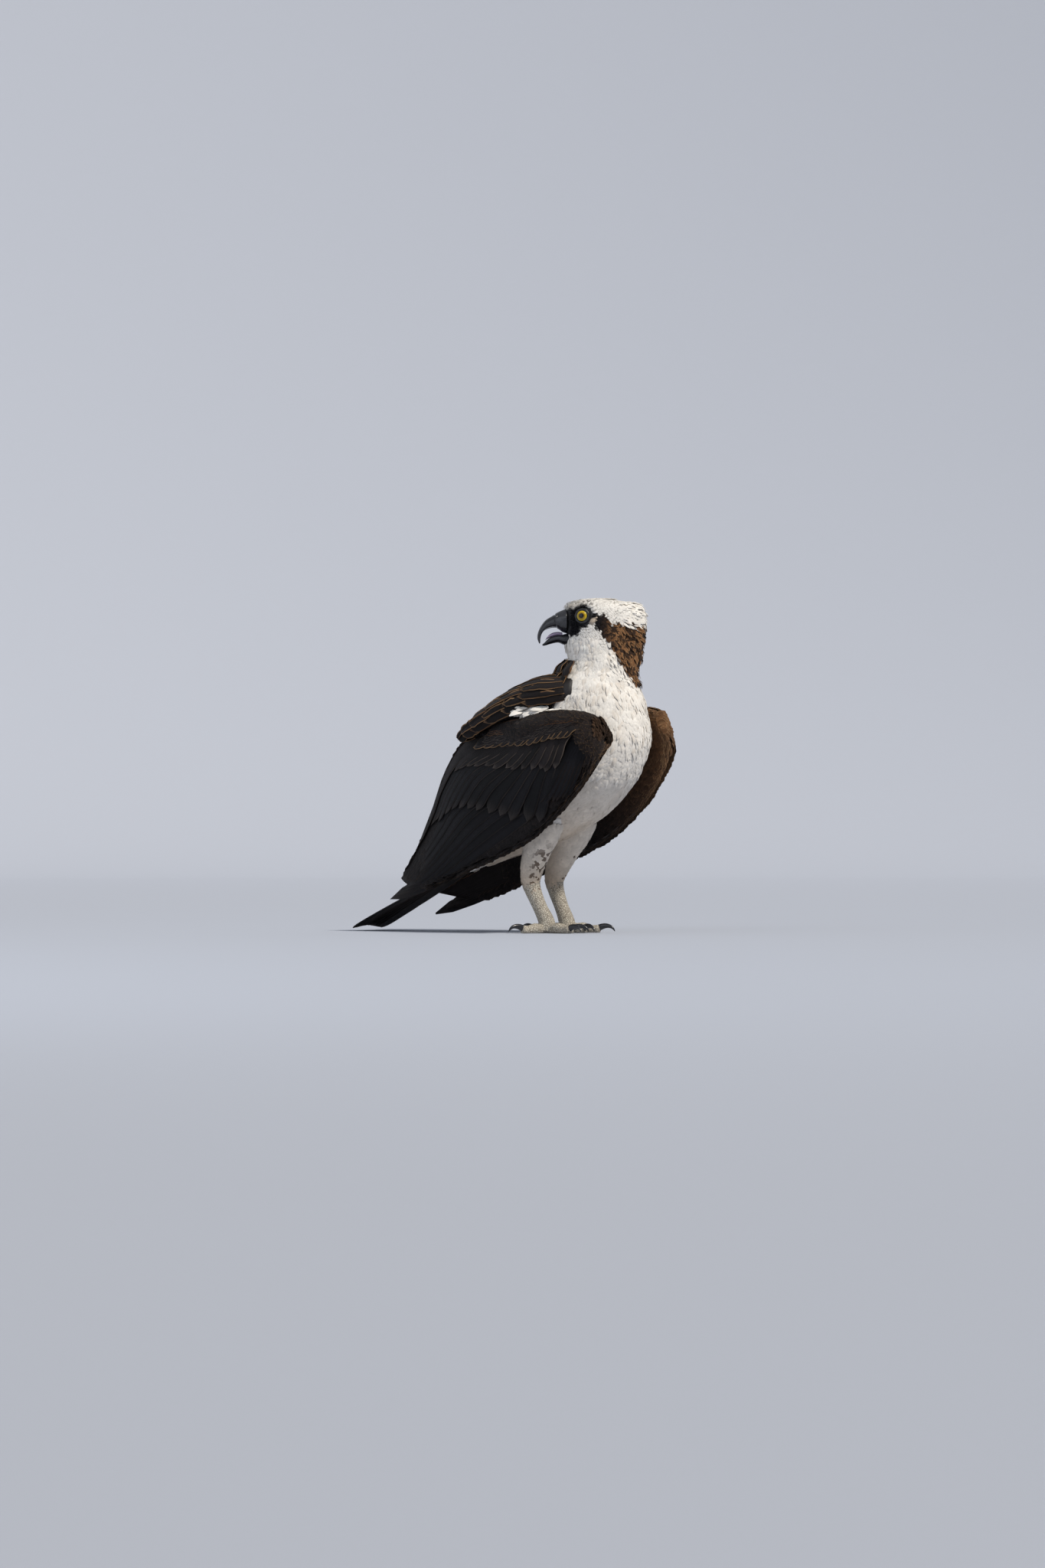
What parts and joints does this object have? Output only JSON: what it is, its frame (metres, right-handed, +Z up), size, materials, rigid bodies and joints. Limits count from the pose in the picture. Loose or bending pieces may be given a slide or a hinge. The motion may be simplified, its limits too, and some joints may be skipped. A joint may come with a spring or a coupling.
{
  "type": "osprey model",
  "caption": "Life-size still model of a standing osprey, head turned back over its shoulder, wings half drooped, bill open.",
  "frame": {"origin": "middle of the flat under the right foot, on the floor", "axes": "+Z up; the body faces -Y and the bird's left is +X"},
  "size_m": [0.1937, 0.4244, 0.4138],
  "materials": {
    "pale_feathers": "soft",
    "dark_feathers": "soft",
    "horn": "polished",
    "scaly_skin": "matt",
    "eye": "wet",
    "tongue": "moist"
  },
  "bodies": {
    "root": {"torso": "pale_feathers", "neck": "pale_feathers", "head": "pale_feathers", "bill_upper": "horn", "bill_lower": "horn", "tongue": "tongue", "eye_left": "eye", "eye_right": "eye", "wing_left": "dark_feathers", "wing_right": "dark_feathers", "tail": "dark_feathers", "thigh_left": "pale_feathers", "thigh_right": "pale_feathers", "tarsus_left": "scaly_skin", "tarsus_right": "scaly_skin", "foot_left": "scaly_skin", "foot_right": "scaly_skin", "claw_hind_left": "horn", "claw_inner_left": "horn", "claw_middle_left": "horn", "claw_outer_left": "horn", "claw_hind_right": "horn", "claw_inner_right": "horn", "claw_middle_right": "horn", "claw_outer_right": "horn"}
  },
  "joints": []
}
